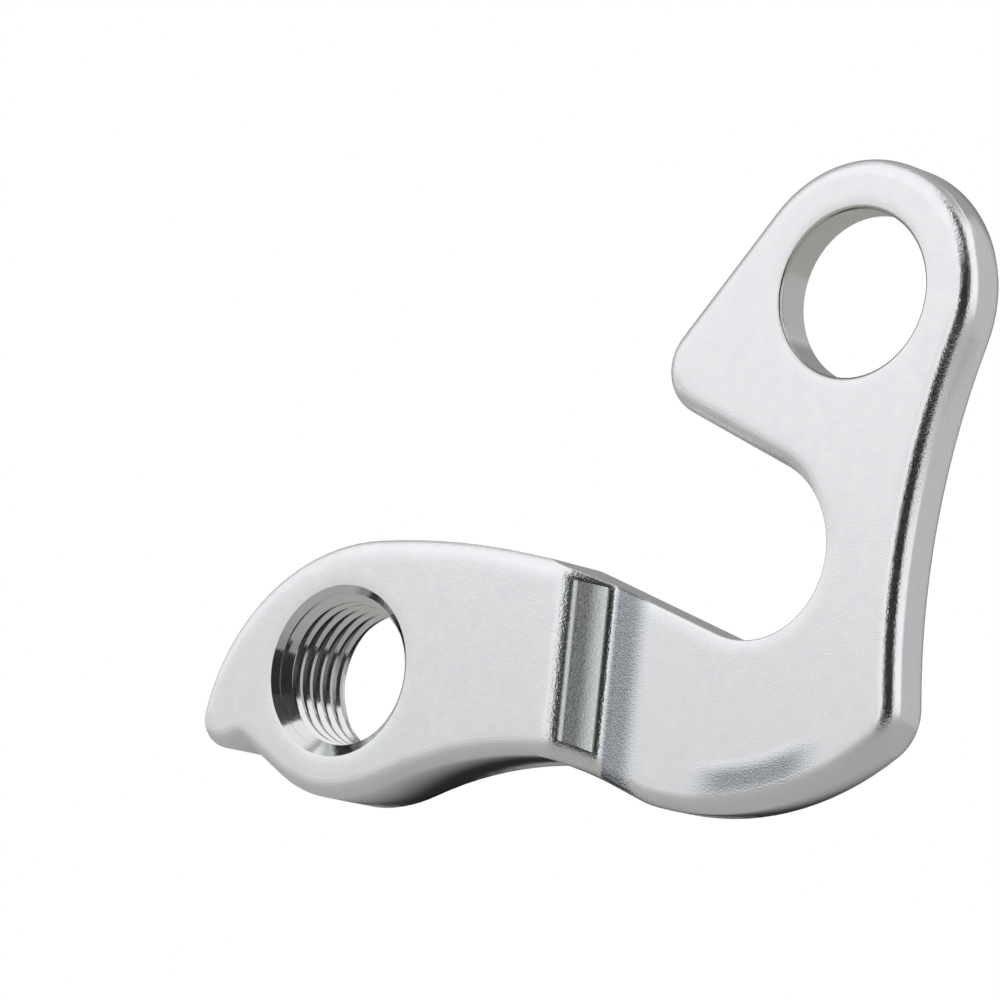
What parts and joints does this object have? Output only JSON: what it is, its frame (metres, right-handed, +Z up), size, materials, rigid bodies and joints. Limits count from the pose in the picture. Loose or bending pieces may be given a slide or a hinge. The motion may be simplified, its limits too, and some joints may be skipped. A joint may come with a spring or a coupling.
{
  "type": "bicycle derailleur hanger",
  "caption": "Forged aluminium arm with a bolt eye, an open axle slot beside it, a step outwards and a threaded boss with a stop tab that carries a rear derailleur.",
  "frame": {"origin": "centre of the eye for the frame bolt, on the outer face of the arm", "axes": "-Y points outwards, away from the wheel, and +Y lies against the frame; +Z is up on the bicycle side of the hanger, from the foot to the eye; the derailleur boss lies at -X and stands proud towards -Y"},
  "size_m": [0.0533, 0.0073, 0.04],
  "materials": {
    "hanger": "tumbled and polished, satin bright"
  },
  "bodies": {
    "root": {"hanger": "hanger"}
  },
  "joints": []
}
